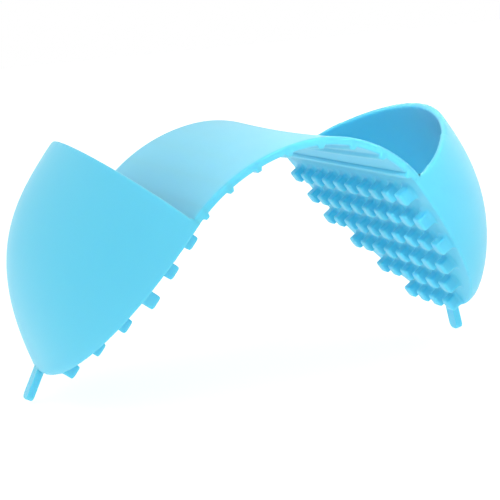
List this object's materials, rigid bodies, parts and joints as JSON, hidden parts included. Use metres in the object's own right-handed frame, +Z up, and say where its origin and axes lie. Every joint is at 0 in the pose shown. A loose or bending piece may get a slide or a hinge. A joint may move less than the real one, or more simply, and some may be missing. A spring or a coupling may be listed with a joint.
{
  "type": "silicone pinch mitt",
  "caption": "Soft heat protector for one hand: a bent silicone strip with a finger pocket and a thumb pocket, nubs inside its grip and a hanging tab at each tip.",
  "frame": {"origin": "on the ground under the middle of the standing arch", "axes": "+X along the span towards the thumb half, +Y across the width, away from the open front, +Z up"},
  "size_m": [0.146, 0.0972, 0.0747],
  "materials": {
    "pocket": "matte, slightly translucent light blue silicone",
    "grip_pad": "matte light blue silicone",
    "bridge": "matte, slightly translucent light blue silicone",
    "tab": "matte light blue silicone"
  },
  "bodies": {
    "finger_half": {"finger_grip_pad": "grip_pad", "finger_pocket": "pocket"},
    "finger_tab": {"finger_tab": "tab"},
    "finger_bridge_link_4": {"finger_bridge_link_4": "bridge"},
    "finger_bridge_link_3": {"finger_bridge_link_3": "bridge"},
    "finger_bridge_link_2": {"finger_bridge_link_2": "bridge"},
    "finger_bridge_link_1": {"finger_bridge_link_1": "bridge"},
    "thumb_bridge_link_1": {"thumb_bridge_link_1": "bridge"},
    "thumb_bridge_link_2": {"thumb_bridge_link_2": "bridge"},
    "thumb_bridge_link_3": {"thumb_bridge_link_3": "bridge"},
    "thumb_bridge_link_4": {"thumb_bridge_link_4": "bridge"},
    "thumb_half": {"thumb_grip_pad": "grip_pad", "thumb_pocket": "pocket"},
    "thumb_tab": {"thumb_tab": "tab"}
  },
  "joints": [
    {"name": "bridge_fold_1", "type": "hinge", "parent": "finger_half", "child": "finger_bridge_link_4", "pos_m": [-0.03186, 0, 0.05388], "axis": [0, 1, 0], "range_deg": [-6.96, 5.23], "stiffness_Nm_per_rad": 0.5},
    {"name": "bridge_fold_2", "type": "hinge", "parent": "finger_bridge_link_4", "child": "finger_bridge_link_3", "pos_m": [-0.02627, 0, 0.05917], "axis": [0, 1, 0], "range_deg": [-9.34, 7.03], "stiffness_Nm_per_rad": 0.5},
    {"name": "bridge_fold_3", "type": "hinge", "parent": "finger_bridge_link_3", "child": "finger_bridge_link_2", "pos_m": [-0.01806, 0, 0.0647], "axis": [0, 1, 0], "range_deg": [-10.51, 7.9], "stiffness_Nm_per_rad": 0.5},
    {"name": "bridge_fold_4", "type": "hinge", "parent": "finger_bridge_link_2", "child": "finger_bridge_link_1", "pos_m": [-0.00898, 0, 0.06865], "axis": [0, 1, 0], "range_deg": [-10.51, 7.9], "stiffness_Nm_per_rad": 0.5},
    {"name": "bridge_fold_5", "type": "hinge", "parent": "finger_bridge_link_1", "child": "thumb_bridge_link_1", "pos_m": [0.00067, 0, 0.07087], "axis": [0, 1, 0], "range_deg": [-13.12, 9.86], "stiffness_Nm_per_rad": 0.5},
    {"name": "bridge_fold_6", "type": "hinge", "parent": "thumb_bridge_link_1", "child": "thumb_bridge_link_2", "pos_m": [0.01057, 0, 0.07085], "axis": [0, 1, 0], "range_deg": [-15.72, 11.82], "stiffness_Nm_per_rad": 0.5},
    {"name": "bridge_fold_7", "type": "hinge", "parent": "thumb_bridge_link_2", "child": "thumb_bridge_link_3", "pos_m": [0.02009, 0, 0.06814], "axis": [0, 1, 0], "range_deg": [-15.72, 11.82], "stiffness_Nm_per_rad": 0.5},
    {"name": "bridge_fold_8", "type": "hinge", "parent": "thumb_bridge_link_3", "child": "thumb_bridge_link_4", "pos_m": [0.02852, 0, 0.06295], "axis": [0, 1, 0], "range_deg": [-13.97, 10.51], "stiffness_Nm_per_rad": 0.5},
    {"name": "bridge_fold_9", "type": "hinge", "parent": "thumb_bridge_link_4", "child": "thumb_half", "pos_m": [0.03391, 0, 0.05746], "axis": [0, 1, 0], "range_deg": [-10.38, 7.8], "stiffness_Nm_per_rad": 0.5},
    {"name": "finger_tab_flex", "type": "hinge", "parent": "finger_half", "child": "finger_tab", "pos_m": [-0.06976, 0, 0.0082], "axis": [0, 1, 0], "range_deg": [-20, 20], "stiffness_Nm_per_rad": 0.05},
    {"name": "thumb_tab_flex", "type": "hinge", "parent": "thumb_half", "child": "thumb_tab", "pos_m": [0.06712, 0, 0.00827], "axis": [0, 1, 0], "range_deg": [-20, 20], "stiffness_Nm_per_rad": 0.05}
  ],
  "couplings": [
    {"joint": "bridge_fold_1", "follows": "bridge_fold_9", "ratio": 0.66876},
    {"joint": "bridge_fold_2", "follows": "bridge_fold_9", "ratio": 0.89849},
    {"joint": "bridge_fold_3", "follows": "bridge_fold_9", "ratio": 1.0108},
    {"joint": "bridge_fold_4", "follows": "bridge_fold_9", "ratio": 1.0108},
    {"joint": "bridge_fold_5", "follows": "bridge_fold_9", "ratio": 1.2611},
    {"joint": "bridge_fold_6", "follows": "bridge_fold_9", "ratio": 1.5114},
    {"joint": "bridge_fold_7", "follows": "bridge_fold_9", "ratio": 1.5114},
    {"joint": "bridge_fold_8", "follows": "bridge_fold_9", "ratio": 1.3435}
  ]
}
